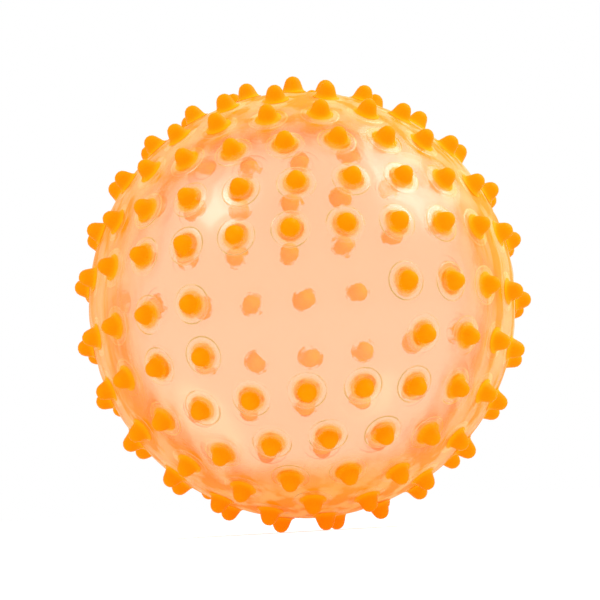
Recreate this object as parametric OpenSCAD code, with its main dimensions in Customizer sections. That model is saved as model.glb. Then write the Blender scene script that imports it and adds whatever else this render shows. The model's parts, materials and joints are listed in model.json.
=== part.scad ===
// Inflated sensory ball: a hollow see-through vinyl skin, orange nubs in rings of latitude
// round its pole axis, and a plug valve at the top pole.
// The origin is the middle of the ball, +Z is up and -Y is the front, where the skin is bare.

/* [Skin] */
// Outside diameter of the skin, between the nubs
skin_d = 186.5; // [120:0.5:300]
// Thickness of the vinyl
skin_wall = 1.5; // [1:0.1:3]

/* [Nubs] */
// Height of a nub above the skin
nub_h = 6.75; // [5.5:0.05:9]
// Radius of a nub's round tip
nub_tip_r = 3.6; // [2.5:0.1:4.2]
// Radius of a nub where its flare meets the skin
nub_base_r = 6; // [5.8:0.1:7]
// Radius of the hollow flare round a nub's foot
nub_flare_r = 1.6; // [0.8:0.1:1.8]

/* [Bare patch] */
// Number of nubs left out at the front of each ring that crosses the patch
patch_count = 3; // [1:2:7]

/* [Valve] */
// Diameter of the port hole in the skin
port_d = 18; // [16:0.5:24]
// Width of the seat's flange outside the port hole, under the skin
flange_w = 3.5; // [2:0.5:8]
// Thickness of the seat's flange
flange_t = 2; // [1.5:0.1:4]
// Outside diameter of the seat's sleeve
sleeve_d = 11; // [10:0.5:15]
// Length of the seat's sleeve below its flange
sleeve_l = 8; // [5:0.5:14]
// Diameter of the plug's stem
stem_d = 6; // [4:0.1:8]
// Diameter of the plug's head
head_d = 11; // [10:0.1:13]
// Thickness of the plug's head
head_t = 2; // [1.5:0.1:3]

/* [Hidden] */
// Rings of nubs from the top down: latitude, nubs in a full ring, longitude of its first nub,
// and nubs left out round that first one. Angles are in degrees.
// Longitude 0 is the front and grows to the right.
rows = [
    [77.5, 6, 16.5, 0],
    [64.5, 11, 29, 0],
    [51.5, 16, 15.5, 0],
    [38.5, 20, 17, 0],
    [24.5, 22, 1, 0],
    [11, 24, 13, 0],
    [-5, 24, -1.7, patch_count],
    [-19, 22, 1.2, patch_count],
    [-33, 20, 15.5, 0],
    [-47.5, 16, 3.5, 0],
    [-61.5, 11, 14.5, 0],
    [-74.5, 6, 48.5, 0],
];

// Gap of the lowest ring that is underneath when the ball stands, counted from the ring's first nub
stand_gap = 2;

// Fineness of round surfaces
$fn = 96;
// Steps along the arcs of a nub's outline
tip_steps = 5;
flare_steps = 4;
base_steps = 2;
// Steps along the arcs of the valve seat's and the plug's outlines
seat_steps = 6;
crown_steps = 4;

// Bond line between two pieces that are welded together
bond_gap = 0.02;
// Edge of a nub's flare where it runs out on the skin
flare_edge = 0.15;
// Room round the plug's stem in its bore
stem_clearance = 0.05;
// Room round and under the plug's head in its recess
head_clearance = 0.3;
// Height of the plug's crowned top above its edge
head_crown = 0.4;
// How far the plug's stem reaches out of the sleeve's inner end
stem_overhang = 1;
// How far a cut runs past what it cuts
overrun = 1;

skin_r = skin_d / 2;
inner_r = skin_r - skin_wall;
stem_r = stem_d / 2;
bore_r = stem_r + stem_clearance;
recess_r = head_d / 2 + head_clearance;
seat_r = port_d / 2 - bond_gap;
flange_r = port_d / 2 + flange_w;

// Height of a sphere of radius r above the ball's middle, at the distance x from the pole axis
function rise(r, x) = sqrt(r * r - x * x);
function arc(center, r, from, to, steps) =
    [for (i = [0:steps]) let (angle = from + (to - from) * i / steps) center + r * [cos(angle), sin(angle)]];
// Points along a sphere round the ball's middle, from one distance from the axis to another
function shell(r, from, to, steps) =
    [for (i = [0:steps]) let (x = from + (to - from) * i / steps) [x, rise(r, x)]];

function row_name(i) = str("nub_row_", i);
// Longitudes of a ring's nubs, less those within the bare patch, counted both ways round from the first one
function row_lons(row) =
    [for (k = [0:row[1] - 1]) if (min(k, row[1] - k) >= row[3] / 2) row[2] + k * 360 / row[1]];

// The ball stands on its pole nub and on two neighbours in the lowest ring,
// so its pole axis leans over by the angle to the middle of those three.
last_row = rows[len(rows) - 1];
stand_tilt = atan(tan((90 + last_row[0]) / 2) / cos(180 / last_row[1]));
stand_lon = last_row[2] + (stand_gap + 1 / 2) * 360 / last_row[1];

module standing() {
    rotate(a = stand_tilt, v = [cos(stand_lon), sin(stand_lon), 0]) children();
}

module at_place(lat, lon) {
    rotate([90 - lat, 0, lon]) children();
}

// Outline of a nub: a round tip and a hollow flare, joined by the straight line that touches both
nub_foot = skin_r + bond_gap;
nub_tip = [0, skin_r + nub_h - nub_tip_r];
nub_flare = [nub_base_r, rise(nub_foot, nub_base_r) + flare_edge + nub_flare_r];
nub_span = nub_flare - nub_tip;
flank_angle = atan2(nub_span[1], nub_span[0]) + acos((nub_tip_r + nub_flare_r) / norm(nub_span));
nub_outline = concat(
    arc(nub_tip, nub_tip_r, 90, flank_angle, tip_steps),
    arc(nub_flare, nub_flare_r, 180 + flank_angle, 270, flare_steps),
    shell(nub_foot, nub_base_r, 0, base_steps)
);

module nub(lat, lon) {
    at_place(lat, lon) rotate_extrude() polygon(nub_outline);
}

module nub_row(i) {
    row = rows[i - 1];
    color("darkorange") standing()
        for (lon = row_lons(row)) nub(row[0], lon);
}

module pole_nub() {
    color("darkorange") standing() nub(-90, 0);
}

module skin() {
    color("peachpuff", 0.8) difference() {
        sphere(r = skin_r);
        sphere(r = inner_r);
        standing() cylinder(d = port_d, h = skin_r + overrun);
    }
}

// Heights along the pole axis
seat_top = rise(skin_r, seat_r);
recess_floor = seat_top - head_t - head_clearance;
flange_top_r = inner_r - bond_gap;
flange_bottom = rise(flange_top_r, flange_r) - flange_t;
sleeve_end = flange_bottom - sleeve_l;
seat_outline = concat(
    shell(flange_top_r, flange_r, seat_r, seat_steps),
    shell(skin_r, seat_r, recess_r, seat_steps),
    [
        [recess_r, recess_floor],
        [bore_r, recess_floor],
        [bore_r, sleeve_end],
        [sleeve_d / 2, sleeve_end],
        [sleeve_d / 2, flange_bottom],
        [flange_r, flange_bottom],
    ]
);

module valve_seat() {
    color("navajowhite") standing() rotate_extrude() polygon(seat_outline);
}

// The plug's head rests in the recess and its stem, with a round end, fills the bore
head_r = head_d / 2;
head_floor = recess_floor + head_clearance;
head_edge = head_floor + head_t - head_crown;
crown_r = (head_r * head_r + head_crown * head_crown) / (2 * head_crown);
crown_span = asin(head_r / crown_r);
stem_end = sleeve_end - stem_overhang;
plug_outline = concat(
    arc([0, head_edge + head_crown - crown_r], crown_r, 90, 90 - crown_span, crown_steps),
    [[head_r, head_floor], [stem_r, head_floor]],
    arc([0, stem_end + stem_r], stem_r, 0, -90, seat_steps)
);

module valve_plug() {
    color("linen") standing() rotate_extrude() polygon(plug_outline);
}

skin();
for (i = [1:len(rows)]) nub_row(i);
pole_nub();
valve_seat();
valve_plug();
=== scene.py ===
import json
import math

import bmesh
import bpy
from mathutils import Matrix, Vector, kdtree


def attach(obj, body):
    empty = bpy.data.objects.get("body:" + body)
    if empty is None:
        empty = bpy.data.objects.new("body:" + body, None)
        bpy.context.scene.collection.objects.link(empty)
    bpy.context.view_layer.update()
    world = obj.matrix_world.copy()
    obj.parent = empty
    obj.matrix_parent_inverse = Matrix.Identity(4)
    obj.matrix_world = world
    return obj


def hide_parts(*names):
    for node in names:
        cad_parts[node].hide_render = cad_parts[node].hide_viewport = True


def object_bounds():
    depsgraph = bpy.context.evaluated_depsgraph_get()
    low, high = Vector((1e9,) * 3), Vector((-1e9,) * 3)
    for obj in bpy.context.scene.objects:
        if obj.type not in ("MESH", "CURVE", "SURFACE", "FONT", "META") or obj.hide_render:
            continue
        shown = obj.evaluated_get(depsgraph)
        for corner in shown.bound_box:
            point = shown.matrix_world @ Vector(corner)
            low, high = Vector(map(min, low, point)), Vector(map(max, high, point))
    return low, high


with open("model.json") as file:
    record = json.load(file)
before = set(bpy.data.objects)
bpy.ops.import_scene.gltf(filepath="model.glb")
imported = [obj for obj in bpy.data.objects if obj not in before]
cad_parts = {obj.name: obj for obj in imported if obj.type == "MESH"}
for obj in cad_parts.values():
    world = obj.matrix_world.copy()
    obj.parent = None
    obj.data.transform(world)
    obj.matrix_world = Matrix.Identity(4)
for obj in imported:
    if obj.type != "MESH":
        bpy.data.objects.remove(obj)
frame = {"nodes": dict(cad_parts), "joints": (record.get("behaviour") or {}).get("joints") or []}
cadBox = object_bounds()
mm = 0.001
weld = 0.0001 * mm  # points closer than this are one
levelTips = 0.001 * mm  # points of a nub within this of the outermost one are its tip
up = Vector((0, 0, 1))
print("frame loaded,", len(frame["nodes"]), "nodes")

# what the frame gives: the pole axis, the skin's radius and where each nub's tip is
poleAxis = Vector(frame["joints"][0]["axis"]).normalized()
standing = up.rotation_difference(poleAxis).to_matrix().to_4x4()
skinR = max(v.co.length for v in frame["nodes"]["skin"].data.vertices)


def tipsOf(node):  # the outermost point of each nub in a node, once each
    points = [v.co for v in frame["nodes"][node].data.vertices]
    reach = max(p.length for p in points) - levelTips
    return sorted({tuple(round(c, 6) for c in p) for p in points if p.length > reach})


nubNodes = sorted(n for n in frame["nodes"] if n.startswith("nub_row_")) + ["pole_nub"]
nubTips = {node: [Vector(t) for t in tipsOf(node)] for node in nubNodes}
allTips = [t for node in nubNodes for t in nubTips[node]]
print("nubs found:", len(allTips))


class Value:  # a socket's value; sums on it become Math nodes
    def __init__(self, tree, socket):
        self.tree = tree
        self.socket = socket

    def sum(self, operation, first, second):
        return addNode(self.tree, "ShaderNodeMath", {"operation": operation}, {0: first, 1: second})

    def __add__(self, other):
        return self.sum("ADD", self, other)

    def __radd__(self, other):
        return self.sum("ADD", other, self)

    def __sub__(self, other):
        return self.sum("SUBTRACT", self, other)

    def __rsub__(self, other):
        return self.sum("SUBTRACT", other, self)

    def __mul__(self, other):
        return self.sum("MULTIPLY", self, other)

    def __rmul__(self, other):
        return self.sum("MULTIPLY", other, self)


def addNode(tree, kind, settings=None, inputs=None, output=0):
    node = tree.nodes.new(kind)
    for name, setting in (settings or {}).items():
        setattr(node, name, setting)
    for name, value in (inputs or {}).items():
        socket = node.inputs[name]
        if isinstance(value, Value):
            tree.links.new(value.socket, socket)
        else:
            socket.default_value = value
    return Value(tree, node.outputs[output]) if len(node.outputs) else node


def newFinish(name):
    material = bpy.data.materials.new(name)
    material.use_nodes = True
    tree = material.node_tree
    tree.nodes.clear()
    return material, tree


def position(tree):
    return addNode(tree, "ShaderNodeTexCoord", output="Object")


def noise(tree, scale, detail=3, roughness=0.5, place=None):
    return addNode(tree, "ShaderNodeTexNoise", {"noise_dimensions": "3D"}, {
        "Vector": place or position(tree), "Scale": scale, "Detail": detail, "Roughness": roughness})


def ease(tree, value, start, end, low=0.0, high=1.0):  # a smooth step from low to high
    return addNode(tree, "ShaderNodeMapRange", {"interpolation_type": "SMOOTHSTEP"}, {
        "Value": value, "From Min": start, "From Max": end, "To Min": low, "To Max": high})


def blendColours(tree, factor, first, second):
    return addNode(tree, "ShaderNodeMix", {"data_type": "RGBA"}, {0: factor, 6: first, 7: second}, output=2)


def blendShaders(tree, factor, first, second):
    return addNode(tree, "ShaderNodeMixShader", None, {0: factor, 1: first, 2: second})


def grain(tree, scale, strength, depth):  # a fine bump for a shader's Normal
    return addNode(tree, "ShaderNodeBump", None, {
        "Height": noise(tree, scale, 2), "Strength": strength, "Distance": depth})


def vectorMath(tree, operation, inputs, output=0):
    return addNode(tree, "ShaderNodeVectorMath", {"operation": operation}, inputs, output)


def shine(tree, surface):
    addNode(tree, "ShaderNodeOutputMaterial", None, {"Surface": surface})


def height(tree):  # how far a point is above the skin
    return vectorMath(tree, "LENGTH", {0: position(tree)}, "Value") - skinR


def slanted(tree, inputs=None):  # 0 where the surface faces the view, 1 where it is seen edge on
    return addNode(tree, "ShaderNodeLayerWeight", None, {"Blend": 0.5, **(inputs or {})}, output="Facing")


def backFaced(tree):  # 1 where a surface is seen from its inner side
    return addNode(tree, "ShaderNodeNewGeometry", output="Backfacing")


def magnitude(tree, value):
    return addNode(tree, "ShaderNodeMath", {"operation": "ABSOLUTE"}, {0: value})


# cloud and streak are scale, detail and roughness; each grain is scale, strength and depth
clearVinyl = {
    "pale": (1.0, 0.64, 0.3, 1), "deep": (1.0, 0.56, 0.22, 1), "cloud": (22, 4, 0.6), "milk": 0.05,
    "tint": (1.0, 0.88, 0.776, 1), "roughness": 0.6, "gloss": 0.2, "mirror": 0.035, "rimMirror": 0.08,
    "rim": (0.27, 0.72), "rimPale": (1.0, 0.55, 0.2, 1), "rimDeep": (1.0, 0.27, 0.002, 1),
    "rimMilk": (0.5, 0.88), "streak": (100, 3, 0.5), "streakEdge": (0.4, 0.6), "stretch": (1, 1, 0.1),
    "grain": (300, 0.05, 0.1 * mm),
    "outerWall": -1 * mm,  # heights over this belong to the outer wall
}
nubHalo = {"reach": (4.2 * mm, 8.4 * mm), "tone": (1.0, 0.42, 0.008, 1), "milk": 0.6,
           "mottle": 160, "ragged": 0.8 * mm}
# painted shade: a dark line along each pad's edge, broken up into patches by noise
padShadeLine = {"radius": 8.45 * mm, "width": 0.6 * mm, "tone": (0.56, 0.33, 0.08, 1), "milk": 0.85,
           "shadeBreakup": 75, "shadeBreakupEdge": (0.38, 0.62), "faintest": 0.15}
# painted shade: near both poles the skin is painted a deeper, milkier orange, most of all at the bottom
paintedPoleShade = {"reach": (0.78, 0.98), "milk": (0.85, 0.25), "tone": (1.0, 0.43, 0.012, 1)}


def milkyFilm(tree, colour, relief):
    return addNode(tree, "ShaderNodeBsdfPrincipled", None, {
        "Base Color": colour, "Roughness": clearVinyl["roughness"],
        "Specular IOR Level": 0.0, "Normal": relief})


# a clear film with milk in it, which is deeper where it is seen edge on, under a gloss
def seeThrough(tree, colour, milk, relief, tint=clearVinyl["tint"]):
    slant = slanted(tree)
    along = vectorMath(tree, "MULTIPLY", {0: position(tree), 1: clearVinyl["stretch"]})
    streaks = ease(tree, noise(tree, *clearVinyl["streak"], along), *clearVinyl["streakEdge"])
    rimTone = blendColours(tree, streaks, clearVinyl["rimPale"], clearVinyl["rimDeep"])
    clear = addNode(tree, "ShaderNodeBsdfTransparent", None, {"Color": tint})
    wall = blendShaders(tree, milk, clear, milkyFilm(tree, colour, relief))
    rim = ease(tree, slant, *clearVinyl["rim"]) * ease(tree, streaks, 0, 1, *clearVinyl["rimMilk"])
    wall = blendShaders(tree, rim, wall, milkyFilm(tree, rimTone, relief))
    gloss = addNode(tree, "ShaderNodeBsdfAnisotropic", None, {
        "Color": (1, 1, 1, 1), "Roughness": clearVinyl["gloss"], "Normal": relief})
    steep = slant * slant
    mirror = clearVinyl["mirror"] + steep * steep * slant * clearVinyl["rimMirror"]
    shine(tree, blendShaders(tree, mirror, wall, gloss))


def skinFinish(name, tint, plainMilk):
    material, tree = newFinish(name)
    cloud = noise(tree, *clearVinyl["cloud"])
    colour = blendColours(tree, cloud, clearVinyl["pale"], clearVinyl["deep"])
    # painted shade: the skin turns a deeper, milkier orange towards both poles, most of all at the bottom
    along = vectorMath(tree, "DOT_PRODUCT", {0: position(tree), 1: poleAxis / skinR}, "Value")
    pole = ease(tree, magnitude(tree, along), *paintedPoleShade["reach"])
    colour = blendColours(tree, pole, colour, paintedPoleShade["tone"])
    # the halo and the line round each nub are on the outer wall, seen from outside; the line is painted shade
    # along each pad's edge
    gap = addNode(tree, "ShaderNodeAttribute", {"attribute_name": "nubGap"}, output="Fac")
    outer = addNode(tree, "ShaderNodeMath", {"operation": "GREATER_THAN"},
                    {0: height(tree), 1: clearVinyl["outerWall"]})
    outside = (1 - backFaced(tree)) * outer
    mottle = noise(tree, nubHalo["mottle"], 2) - 0.5
    halo = ease(tree, gap + mottle * nubHalo["ragged"], *nubHalo["reach"], 1, 0) * outside
    colour = blendColours(tree, halo, colour, nubHalo["tone"])
    # painted shade along each pad's edge, broken up into patches by noise
    line = ease(tree, magnitude(tree, gap - padShadeLine["radius"]), 0, padShadeLine["width"], 1, 0) * outside
    line = line * ease(tree, noise(tree, padShadeLine["shadeBreakup"], 2), *padShadeLine["shadeBreakupEdge"], padShadeLine["faintest"], 1)
    colour = blendColours(tree, line, colour, padShadeLine["tone"])
    milk = (clearVinyl["milk"] + pole * ease(tree, along, -1, 1, *paintedPoleShade["milk"])) * plainMilk
    milk = milk + halo * nubHalo["milk"] + line * padShadeLine["milk"]
    seeThrough(tree, colour, milk, grain(tree, *clearVinyl["grain"]), tint)
    return material


seatVinyl = {"cloud": 90, "milk": 0.4, "cloudMilk": 0.2, "grain": (600, 0.1, 0.1 * mm)}


def seatFinish():
    material, tree = newFinish("clear_vinyl_seat")
    cloud = noise(tree, seatVinyl["cloud"])
    colour = blendColours(tree, cloud, clearVinyl["pale"], clearVinyl["deep"])
    milk = cloud * seatVinyl["cloudMilk"] + seatVinyl["milk"]
    seeThrough(tree, colour, milk, grain(tree, *seatVinyl["grain"]))
    return material


orangeVinyl = {
    "bright": (1.0, 0.32, 0.0004, 1), "deep": (1.0, 0.245, 0.0002, 1), "mottle": 60, "mottleEdge": (0.3, 0.7),
    "roughness": (0.37, 0.47), "specular": 0.02, "grain": (1400, 0.15, 0.05 * mm),
    "pale": (1.0, 0.38, 0.002, 1), "paleTo": 2.5 * mm, "foot": (-0.2 * mm, 2.6 * mm), "sideOn": 6 * mm,
    # the bed colour of the inner side is painted light: paler than the outside, standing in for light glowing
    # through the nub
    "bed": (1.0, 0.55, 0.0005, 1), "bedFrom": 0.2 * mm, "bedEdge": (-0.4 * mm, 1.8 * mm),
    "tear": 130, "torn": 14 * mm, "lightThrough": (0.12, 0.6),
}


def nubFinish():
    material, tree = newFinish("orange_vinyl_nubs")
    mottle = noise(tree, orangeVinyl["mottle"])
    colour = blendColours(tree, mottle, orangeVinyl["bright"], orangeVinyl["deep"])
    lift = height(tree)
    colour = blendColours(tree, ease(tree, lift, 0, orangeVinyl["paleTo"]), orangeVinyl["pale"], colour)
    inner = backFaced(tree)
    # painted light: the inner side is painted paler, as if lit through the nub
    colour = blendColours(tree, inner, colour, orangeVinyl["bed"])
    # the foot runs out clear, and is deeper seen from the side
    outward = vectorMath(tree, "NORMALIZE", {0: position(tree)})
    lean = slanted(tree, {"Normal": outward})
    foot = ease(tree, lift + lean * lean * orangeVinyl["sideOn"], *orangeVinyl["foot"])
    # the colour on the inner side has a ragged edge
    torn = lift + (noise(tree, orangeVinyl["tear"], 2) - 0.5) * orangeVinyl["torn"]
    bed = ease(tree, torn, *orangeVinyl["bedEdge"]) * ease(tree, lift, 0, orangeVinyl["bedFrom"])
    pigment = foot * (1 - inner) + bed * inner
    relief = grain(tree, *orangeVinyl["grain"])
    face = addNode(tree, "ShaderNodeBsdfPrincipled", None, {
        "Base Color": colour,
        "Roughness": ease(tree, mottle, *orangeVinyl["mottleEdge"], *orangeVinyl["roughness"]),
        "Specular IOR Level": orangeVinyl["specular"],
        "Normal": relief,
    })
    through = addNode(tree, "ShaderNodeBsdfTranslucent", None, {
        "Color": orangeVinyl["bed"], "Normal": relief})
    passed = ease(tree, inner, 0, 1, *orangeVinyl["lightThrough"])
    clear = addNode(tree, "ShaderNodeBsdfTransparent")
    shine(tree, blendShaders(tree, pigment, clear, blendShaders(tree, passed, face, through)))
    return material


plugVinyl = {"pale": (0.74, 0.58, 0.4, 1), "deep": (0.7, 0.5, 0.32, 1), "cloud": 80, "cloudEdge": (0.3, 0.7),
             "roughness": (0.3, 0.42), "clear": 0.3, "grain": (1200, 0.1, 0.05 * mm)}


def plugFinish():
    material, tree = newFinish("milky_vinyl_plug")
    cloud = noise(tree, plugVinyl["cloud"])
    shine(tree, addNode(tree, "ShaderNodeBsdfPrincipled", None, {
        "Base Color": blendColours(tree, cloud, plugVinyl["pale"], plugVinyl["deep"]),
        "Roughness": ease(tree, cloud, *plugVinyl["cloudEdge"], *plugVinyl["roughness"]),
        "Transmission Weight": plugVinyl["clear"],
        "Normal": grain(tree, *plugVinyl["grain"]),
    }))
    return material


finishes = {
    "skin": skinFinish("clear_vinyl_skin", clearVinyl["tint"], 1.0),
    "pad": skinFinish("clear_vinyl_pads", (1, 1, 1, 1), 0.0),
    "seat": seatFinish(),
    "nub": nubFinish(),
    "plug": plugFinish(),
}
print("finishes made")


def asMesh(bm, name):
    mesh = bpy.data.meshes.new(name)
    bm.to_mesh(mesh)
    bm.free()
    return mesh


def asPiece(bm, name, finish, body, node, sharp=40):
    bmesh.ops.remove_doubles(bm, verts=bm.verts, dist=weld)
    mesh = asMesh(bm, name)
    mesh.shade_smooth()
    mesh.set_sharp_from_angle(angle=math.radians(sharp))
    mesh.materials.append(finish)
    piece = bpy.data.objects.new(name, mesh)
    bpy.context.scene.collection.objects.link(piece)
    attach(piece, body)
    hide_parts(node)
    return piece


def chain(bm, points, closed=False):  # a line of vertices in the XZ plane
    verts = [bm.verts.new((x, 0, z)) for x, z in points]
    for first, second in zip(verts, verts[1:] + verts[:1] * closed):
        bm.edges.new((first, second))
    return verts


def turn(bm, steps):  # spins all there is once round Z
    bmesh.ops.spin(bm, geom=bm.verts[:] + bm.edges[:], cent=(0, 0, 0), axis=up, dvec=(0, 0, 0),
                   angle=math.tau, steps=steps, use_merge=True)
    bmesh.ops.remove_doubles(bm, verts=bm.verts, dist=weld)
    bmesh.ops.recalc_face_normals(bm, faces=bm.faces)


def arc(centre, r, start, end, steps):
    turns = [math.radians(start + (end - start) * i / steps) for i in range(steps + 1)]
    return [(centre[0] + r * math.cos(a), centre[1] + r * math.sin(a)) for a in turns]


def rise(r, x):  # height of a sphere at the distance x from its axis
    return math.sqrt(r * r - x * x)


skinShape = {"wall": 1.5 * mm, "portR": 9 * mm, "around": 320, "outerRows": 160, "innerRows": 80,
             "dimple": 0.35 * mm, "dimpleR": (8 * mm, 12 * mm)}
padShape = {"from": 4.8 * mm, "flat": 7.7 * mm, "edge": 8.3 * mm, "foot": 8.8 * mm,
            "lift": 0.2 * mm, "edgeLift": 0.14 * mm, "sunk": 0.05 * mm, "around": 18}
copyTurn = 2.4  # each copy of a shape is turned on by this, in radians


def copyOut(oneMesh, tips):  # a mesh with a copy of one shape at each tip
    bm = bmesh.new()
    for i, tip in enumerate(tips):
        before = len(bm.verts)
        bm.from_mesh(oneMesh)
        bm.verts.ensure_lookup_table()
        leaned = up.rotation_difference(tip.normalized()).to_matrix().to_4x4()
        turned = Matrix.Rotation(copyTurn * i, 4, up)
        bmesh.ops.transform(bm, matrix=leaned @ turned, verts=bm.verts[before:])
    return asMesh(bm, "copies")


def makePads():  # the low round pads that the nubs stand on
    s = padShape
    low = skinR - skinShape["dimple"]
    bm = bmesh.new()
    steps = (("from", s["lift"]), ("flat", s["lift"]), ("edge", s["edgeLift"]), ("foot", -s["sunk"]))
    chain(bm, [(s[step], rise(low + lift, s[step])) for step, lift in steps])
    turn(bm, s["around"])
    bm.normal_update()
    if sum(face.normal.z for face in bm.faces) < 0:
        bmesh.ops.reverse_faces(bm, faces=bm.faces)
    for face in bm.faces:
        face.material_index = 1
    return copyOut(asMesh(bm, "one_pad"), allTips)


def makeSkin():
    bm = bmesh.new()
    innerR = skinR - skinShape["wall"]
    port = chain(bm, [(skinShape["portR"], rise(r, skinShape["portR"])) for r in (skinR, innerR)])
    for vert, rows in zip(port, (skinShape["outerRows"], skinShape["innerRows"])):
        down = math.pi - math.asin(skinShape["portR"] / vert.co.length)
        bmesh.ops.spin(bm, geom=[vert], cent=(0, 0, 0), axis=(0, 1, 0), dvec=(0, 0, 0),
                       angle=down, steps=rows)
    turn(bm, skinShape["around"])
    bmesh.ops.transform(bm, matrix=standing, verts=bm.verts)
    tree = kdtree.KDTree(len(allTips))
    for i, tip in enumerate(allTips):
        tree.insert(tip.normalized() * skinR, i)
    tree.balance()

    def nubGap(vert):  # how far a point is from the nearest nub's axis, measured on the skin
        return tree.find(vert.co.normalized() * skinR)[2]

    near, far = skinShape["dimpleR"]
    for vert in bm.verts:  # the outer wall sinks a little round each nub
        if vert.co.length > skinR - skinShape["wall"] / 2:
            t = min(1, max(0, (nubGap(vert) - near) / (far - near)))
            vert.co *= 1 - skinShape["dimple"] * (1 - t * t * (3 - 2 * t)) / skinR
    bm.from_mesh(makePads())
    gapLayer = bm.verts.layers.float.new("nubGap")
    for vert in bm.verts:
        vert[gapLayer] = nubGap(vert)
    skin = asPiece(bm, "vinyl_skin", finishes["skin"], "ball", "skin")
    skin.data.materials.append(finishes["pad"])
    return skin


nubShape = {"tipR": 3.6 * mm, "baseR": 6 * mm, "flareR": 1.6 * mm, "edge": 0.1 * mm, "sunk": 0.7 * mm,
            "bedR": 3.5 * mm, "around": 12, "tipSteps": 3, "flareSteps": 2, "sharp": 60}


def makeNub():  # one nub standing on the skin at the top of Z
    s = nubShape
    tip = Vector((0, allTips[0].length - s["tipR"]))
    flare = Vector((s["baseR"], rise(skinR, s["baseR"]) + s["edge"] + s["flareR"]))
    span = flare - tip
    flank = math.degrees(math.atan2(span.y, span.x) + math.acos((s["tipR"] + s["flareR"]) / span.length))
    outline = arc(tip, s["tipR"], 90, flank, s["tipSteps"])
    outline += arc(flare, s["flareR"], 180 + flank, 270, s["flareSteps"])
    outline += [(s["bedR"], rise(skinR, s["bedR"]) - s["sunk"])]
    bm = bmesh.new()
    chain(bm, outline)
    turn(bm, s["around"])
    bmesh.ops.holes_fill(bm, edges=[e for e in bm.edges if e.is_boundary])
    bmesh.ops.recalc_face_normals(bm, faces=bm.faces)
    return asMesh(bm, "one_nub")


def makeNubs(node, oneNub):
    bm = bmesh.new()
    bm.from_mesh(copyOut(oneNub, nubTips[node]))
    name = node.replace("nub", "orange_nub")
    return asPiece(bm, name, finishes["nub"], "ball", node, nubShape["sharp"])


makeSkin()
print("skin made")
oneNub = makeNub()
print("faces of a nub:", len(oneNub.polygons))
for node in nubNodes:
    makeNubs(node, oneNub)
print("nubs made")

valveShape = {
    "seatR": 8.98 * mm, "flangeR": 12.5 * mm, "flangeT": 2 * mm, "recessR": 5.8 * mm, "recess": 2.3 * mm,
    "boreR": 3.05 * mm, "sleeveR": 5.5 * mm, "sleeve": 8 * mm, "bond": 0.02 * mm,
    "headR": 5.5 * mm, "headGap": 0.3 * mm, "head": 1.6 * mm, "crown": 0.4 * mm,
    "stemR": 3 * mm, "over": 1 * mm,
    "gateR": 1.1 * mm, "gateFloorR": 0.77 * mm, "gate": 0.3 * mm,
    "around": 64, "seatSteps": 4, "crownSteps": 5, "tipSteps": 6,
    "round": 0.2 * mm, "roundFrom": 35,  # edges that turn by more than this are rounded
}


def turnedPiece(points, closed, name, finish, body, node):  # a spun outline with its edges rounded
    bm = bmesh.new()
    chain(bm, points, closed)
    turn(bm, valveShape["around"])
    bend = math.radians(valveShape["roundFrom"])
    sharp = [e for e in bm.edges if e.is_manifold and e.calc_face_angle() > bend]
    bmesh.ops.bevel(bm, geom=sharp, offset=valveShape["round"], offset_type="OFFSET", segments=2, profile=0.5,
                    affect="EDGES", clamp_overlap=True, material=-1)
    bmesh.ops.recalc_face_normals(bm, faces=bm.faces)
    bmesh.ops.transform(bm, matrix=standing, verts=bm.verts)
    return asPiece(bm, name, finishes[finish], body, node)


def shell(r, start, end, steps):  # points along a sphere, from one distance from the axis to another
    return [(x, rise(r, x)) for x in (start + (end - start) * i / steps for i in range(steps + 1))]


def makeValve():
    s = valveShape
    underR = skinR - skinShape["wall"] - s["bond"]
    floor = rise(skinR, s["seatR"]) - s["recess"]
    flange = rise(underR, s["flangeR"]) - s["flangeT"]
    end = flange - s["sleeve"]
    seat = shell(underR, s["flangeR"], s["seatR"], s["seatSteps"])
    seat += shell(skinR, s["seatR"], s["recessR"], s["seatSteps"])
    seat += [(s["recessR"], floor), (s["boreR"], floor), (s["boreR"], end), (s["sleeveR"], end),
             (s["sleeveR"], flange), (s["flangeR"], flange)]
    turnedPiece(seat, True, "vinyl_valve_seat", "seat", "ball", "valve_seat")
    base = floor + s["headGap"]
    crownR = (s["headR"] ** 2 + s["crown"] ** 2) / (2 * s["crown"])
    top = base + s["head"] + s["crown"] - crownR
    tip = end - s["over"] + s["stemR"]
    plug = [(0, top + crownR - s["gate"]), (s["gateFloorR"], top + crownR - s["gate"])]
    plug += [(x, top + z) for x, z in shell(crownR, s["gateR"], s["headR"], s["crownSteps"])]
    plug += [(s["headR"], base), (s["stemR"], base)] + arc((0, tip), s["stemR"], 0, -90, s["tipSteps"])
    turnedPiece(plug, False, "milky_valve_plug", "plug", "plug", "valve_plug")


makeValve()
print("valve made")

# floor, world, lamps and camera
stage = {"size": 40, "tone": (0.45, 0.45, 0.45, 1), "glow": 0.6, "ambient": 1.0,
         "bounces": 24, "matteBounces": 12, "clearBounces": 32}


def makeFloor():
    material, tree = newFinish("pale_floor")
    matte = addNode(tree, "ShaderNodeBsdfDiffuse", None, {"Color": stage["tone"]})
    glow = addNode(tree, "ShaderNodeEmission", None, {"Strength": stage["glow"]})
    shine(tree, addNode(tree, "ShaderNodeAddShader", None, {0: matte, 1: glow}))
    bm = bmesh.new()
    bmesh.ops.create_grid(bm, x_segments=1, y_segments=1, size=stage["size"] / 2)
    bmesh.ops.translate(bm, verts=bm.verts, vec=(0, 0, cadBox[0].z))
    mesh = asMesh(bm, "floor")
    mesh.materials.append(material)
    floor = bpy.data.objects.new("floor", mesh)
    bpy.context.scene.collection.objects.link(floor)


def makeWorld():
    world = bpy.data.worlds.new("studio")
    bpy.context.scene.world = world
    world.use_nodes = True
    tree = world.node_tree
    tree.nodes.clear()
    background = addNode(tree, "ShaderNodeBackground", None, {
        "Color": (1, 1, 1, 1), "Strength": stage["ambient"]})
    addNode(tree, "ShaderNodeOutputWorld", None, {"Surface": background})


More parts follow.
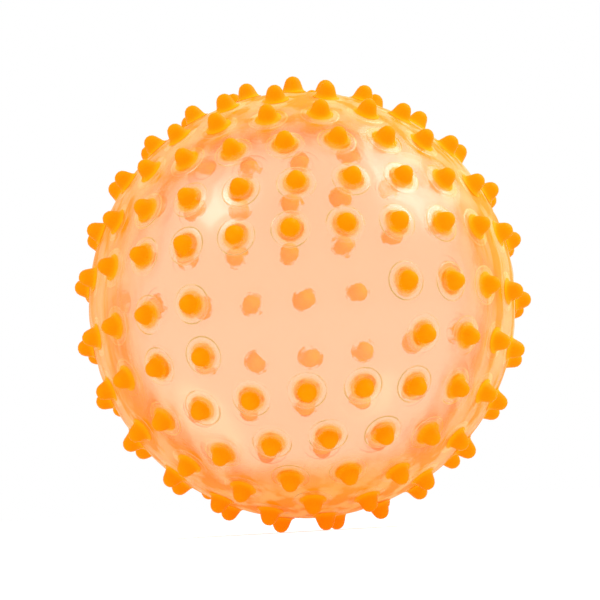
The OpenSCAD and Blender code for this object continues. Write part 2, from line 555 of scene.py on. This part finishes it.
def towards(azimuth, elevation):  # azimuth 0 is the front, 90 the right
    a, e = math.radians(azimuth), math.radians(elevation)
    return Vector((math.sin(a) * math.cos(e), -math.cos(a) * math.cos(e), math.sin(e)))


lamps = {
    "left_softbox": {"azimuth": -60, "elevation": 48, "far": 1.3, "size": (0.5, 0.5), "power": 3.5},
    "right_softbox": {"azimuth": 105, "elevation": 46, "far": 2.8, "size": (2.8, 1.9), "power": 68.0},
}


def makeLamps():
    for name, lamp in lamps.items():
        light = bpy.data.lights.new(name, "AREA")
        light.shape = "ELLIPSE"
        light.size, light.size_y = lamp["size"]
        light.energy = lamp["power"]
        obj = bpy.data.objects.new(name, light)
        way = towards(lamp["azimuth"], lamp["elevation"])
        aimed = way.to_track_quat("Z", "Y").to_matrix().to_4x4()
        obj.matrix_world = Matrix.Translation(way * lamp["far"]) @ aimed
        bpy.context.scene.collection.objects.link(obj)


cameraAt = {"azimuth": -0.77, "elevation": -1.31, "roll": -3.24, "far": 3.73, "lens": 512.2, "sensor": 36,
            "shift": (-0.0038, 0.0083), "clip": (0.01, 200)}


def makeCamera():
    camera = bpy.data.cameras.new("camera")
    camera.sensor_width = cameraAt["sensor"]
    camera.lens = cameraAt["lens"]
    camera.shift_x, camera.shift_y = cameraAt["shift"]
    camera.clip_start, camera.clip_end = cameraAt["clip"]
    back = towards(cameraAt["azimuth"], cameraAt["elevation"])
    level = up.cross(back).normalized()
    roll = math.radians(cameraAt["roll"])
    right = level * math.cos(roll) + back.cross(level) * math.sin(roll)
    pose = Matrix((right, back.cross(right), back)).transposed().to_4x4()
    pose.translation = back * cameraAt["far"]
    obj = bpy.data.objects.new("camera", camera)
    obj.matrix_world = pose
    bpy.context.scene.collection.objects.link(obj)
    bpy.context.scene.camera = obj


makeFloor()
makeWorld()
makeLamps()
makeCamera()
bpy.context.scene.view_settings.view_transform = "Standard"
bpy.context.scene.cycles.max_bounces = stage["bounces"]
bpy.context.scene.cycles.diffuse_bounces = stage["matteBounces"]
bpy.context.scene.cycles.transparent_max_bounces = stage["clearBounces"]
print("stage made")

bpy.context.view_layer.update()
